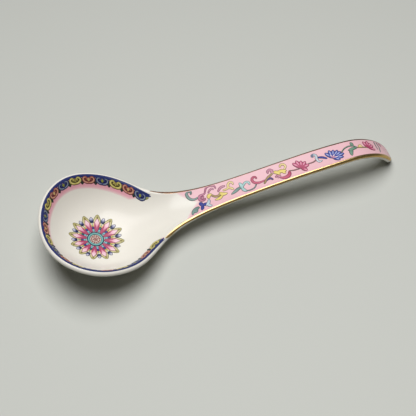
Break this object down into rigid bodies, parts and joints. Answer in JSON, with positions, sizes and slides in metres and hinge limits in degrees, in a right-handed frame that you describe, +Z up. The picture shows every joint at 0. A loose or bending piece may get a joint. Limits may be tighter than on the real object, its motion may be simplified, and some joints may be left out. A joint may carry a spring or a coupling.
{
  "type": "bone china spoon",
  "caption": "Round-bowled white bone china spoon with a long curled handle, painted with a cloud border, a lotus rosette and flowers on pink, and gilt along the handle's edge.",
  "frame": {"origin": "middle of the flat ground under the bowl, on the table", "axes": "+X along the spoon towards the handle's tip, +Y to the left of the handle seen from the bowl, +Z up"},
  "size_m": [0.2118, 0.0694, 0.0276],
  "materials": {
    "china": "clear gloss glaze over white bone china",
    "cobalt": "glossy fired overglaze enamel",
    "cloud_blue": "glossy fired overglaze enamel",
    "cloud_red": "glossy fired overglaze enamel",
    "cloud_yellow": "glossy fired overglaze enamel",
    "blush": "thin shaded pink wash under gloss",
    "petal_rose": "glossy fired overglaze enamel",
    "turquoise": "glossy fired overglaze enamel",
    "seed_brown": "glossy fired overglaze enamel",
    "ground_pink": "even pink enamel ground under gloss",
    "leaf_green": "glossy fired overglaze enamel",
    "plum": "glossy fired overglaze enamel",
    "aqua": "glossy fired overglaze enamel",
    "crimson": "glossy fired overglaze enamel",
    "gilt": "fired liquid gold, bright, slightly worn"
  },
  "bodies": {
    "root": {"china_body": "china", "cobalt_rim_line": "cobalt", "cloud_head_01": "cloud_blue", "cloud_head_02": "cloud_red", "cloud_head_03": "cloud_yellow", "cloud_head_04": "cloud_blue", "cloud_head_05": "cloud_red", "cloud_head_06": "cloud_yellow", "cloud_head_07": "cloud_blue", "cloud_head_08": "cloud_red", "cloud_head_09": "cloud_yellow", "cloud_head_10": "cloud_blue", "cloud_head_11": "cloud_red", "cloud_head_12": "cloud_yellow", "cloud_head_13": "cloud_blue", "cloud_head_14": "cloud_red", "cloud_head_15": "cloud_yellow", "cloud_head_16": "cloud_blue", "cloud_head_17": "cloud_red", "cloud_head_18": "cloud_yellow", "cloud_head_19": "cloud_blue", "cloud_head_20": "cloud_red", "cloud_head_21": "cloud_yellow", "border_blush": "blush", "rosette_petals": "petal_rose", "rosette_ring": "turquoise", "rosette_seed_head": "seed_brown", "handle_pink_ground": "ground_pink", "leaf_green_root": "leaf_green", "scroll_plum": "plum", "trefoil_blue": "cobalt", "blossom_yellow_root": "cloud_yellow", "leaf_aqua": "aqua", "scroll_crimson": "crimson", "blossom_yellow": "cloud_yellow", "lotus_crimson": "crimson", "lotus_blue": "cobalt", "leaf_green": "leaf_green", "lotus_crimson_tip": "crimson", "gilt_edge_line": "gilt"}
  },
  "joints": []
}
